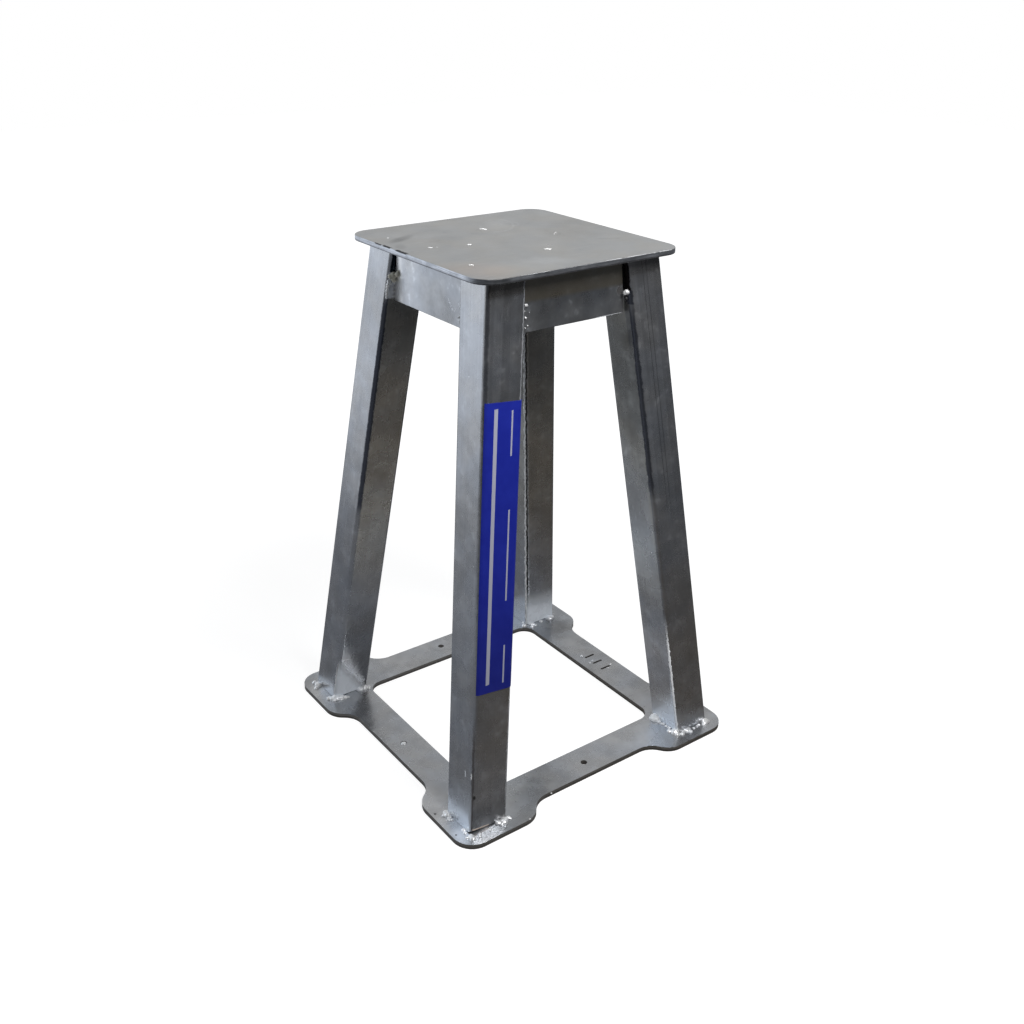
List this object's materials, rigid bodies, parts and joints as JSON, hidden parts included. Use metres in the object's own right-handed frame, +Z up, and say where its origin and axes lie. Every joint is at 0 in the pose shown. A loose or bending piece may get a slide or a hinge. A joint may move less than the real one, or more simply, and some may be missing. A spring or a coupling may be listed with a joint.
{
  "type": "boat keel stand",
  "caption": "Welded steel trestle with splayed square tube legs between a framed base plate and a flat top plate that a boat's keel rests on ashore.",
  "frame": {"origin": "on the ground, under the middle of the stand", "axes": "+Z up through the middle of the top plate, -Y towards the front, where the base plate's front strip lies, and -X to the left; the label is on the front left leg"},
  "size_m": [0.4, 0.4, 0.61],
  "materials": {
    "top_plate": "hot-dip galvanised, satin, with small scratches and specks",
    "base_plate": "hot-dip galvanised, dull, blotched",
    "tube": "hot-dip galvanised, satin, with faint streaks along the tube",
    "apron": "hot-dip galvanised, satin, clouded",
    "weld": "zinc over lumpy weld beads, bright",
    "label": "blue vinyl film, satin gloss"
  },
  "bodies": {
    "root": {"base_plate": "base_plate", "top_plate": "top_plate", "leg_front_left": "tube", "leg_front_right": "tube", "leg_back_right": "tube", "leg_back_left": "tube", "foot_tack_front_left_1": "weld", "foot_tack_front_left_2": "weld", "foot_tack_front_left_3": "weld", "foot_tack_front_left_4": "weld", "foot_tack_front_right_1": "weld", "foot_tack_front_right_2": "weld", "foot_tack_front_right_3": "weld", "foot_tack_front_right_4": "weld", "foot_tack_back_right_1": "weld", "foot_tack_back_right_2": "weld", "foot_tack_back_right_3": "weld", "foot_tack_back_right_4": "weld", "foot_tack_back_left_1": "weld", "foot_tack_back_left_2": "weld", "foot_tack_back_left_3": "weld", "foot_tack_back_left_4": "weld", "apron_front": "apron", "apron_right": "apron", "apron_back": "apron", "apron_left": "apron", "apron_bead_front_left": "weld", "apron_bead_front_right": "weld", "apron_bead_right_front": "weld", "apron_bead_right_back": "weld", "apron_bead_back_right": "weld", "apron_bead_back_left": "weld", "apron_bead_left_back": "weld", "apron_bead_left_front": "weld", "top_bead_front_left": "weld", "top_bead_front_right": "weld", "top_bead_right_front": "weld", "top_bead_right_back": "weld", "top_bead_back_right": "weld", "top_bead_back_left": "weld", "top_bead_left_back": "weld", "top_bead_left_front": "weld", "label": "label"}
  },
  "joints": []
}
